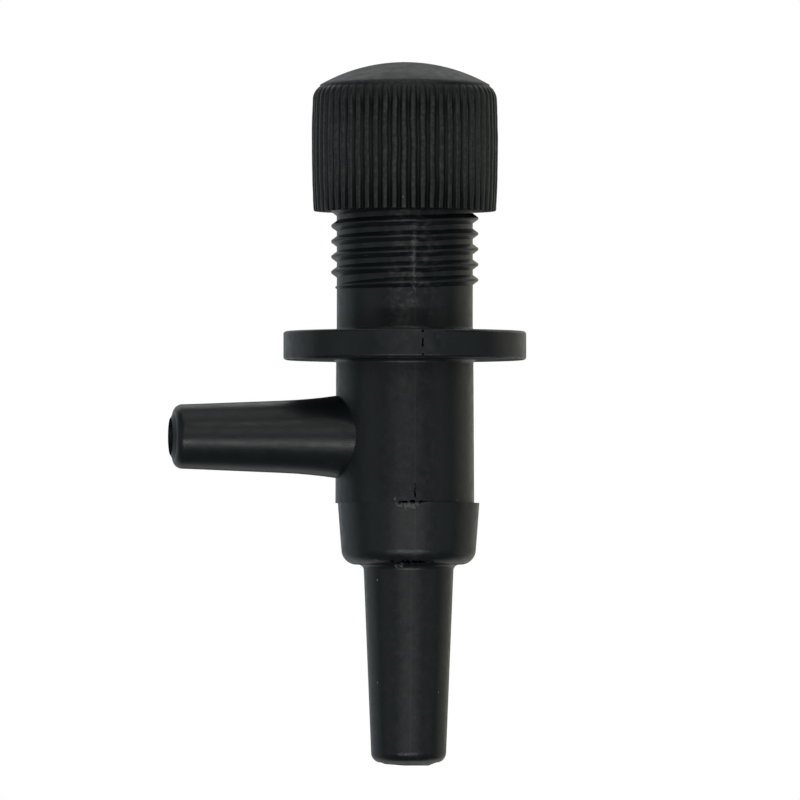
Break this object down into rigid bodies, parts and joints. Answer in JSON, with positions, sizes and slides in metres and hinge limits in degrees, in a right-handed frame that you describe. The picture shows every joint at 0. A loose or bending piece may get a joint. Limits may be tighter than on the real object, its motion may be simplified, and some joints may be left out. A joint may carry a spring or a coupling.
{
  "type": "air flow control valve",
  "caption": "Needle valve for small airline: knurled screw cap over a threaded neck, round flange, and tapered hose nozzles at the side and the bottom.",
  "frame": {"origin": "centre of the flange's upper face, on the axis of the neck", "axes": "+Z along the neck to the knob, -X along the side nozzle, -Z along the bottom nozzle"},
  "size_m": [0.0233, 0.0158, 0.0457],
  "materials": {
    "body": "black polypropylene, moulded, satin to semi-gloss",
    "knob": "black plastic, moulded, knurled, matt",
    "stem": "natural acetal, turned",
    "seal": "black nitrile rubber"
  },
  "bodies": {
    "body": {"valve_body": "body"},
    "seals": {"upper_o_ring": "seal", "lower_o_ring": "seal"},
    "knob": {"control_knob": "knob", "valve_stem": "stem"}
  },
  "joints": [
    {"name": "stem_travel", "type": "slide", "parent": "body", "child": "seals", "axis": [0, 0, 1], "range_m": [-0.004, 0.0015]},
    {"name": "knob_turn", "type": "hinge", "parent": "seals", "child": "knob", "pos_m": [0, 0, 0], "axis": [0, 0, 1], "range_deg": [-1440, 540]}
  ],
  "couplings": [
    {"joint": "knob_turn", "follows": "stem_travel", "rad_per_m": 6283.1}
  ]
}
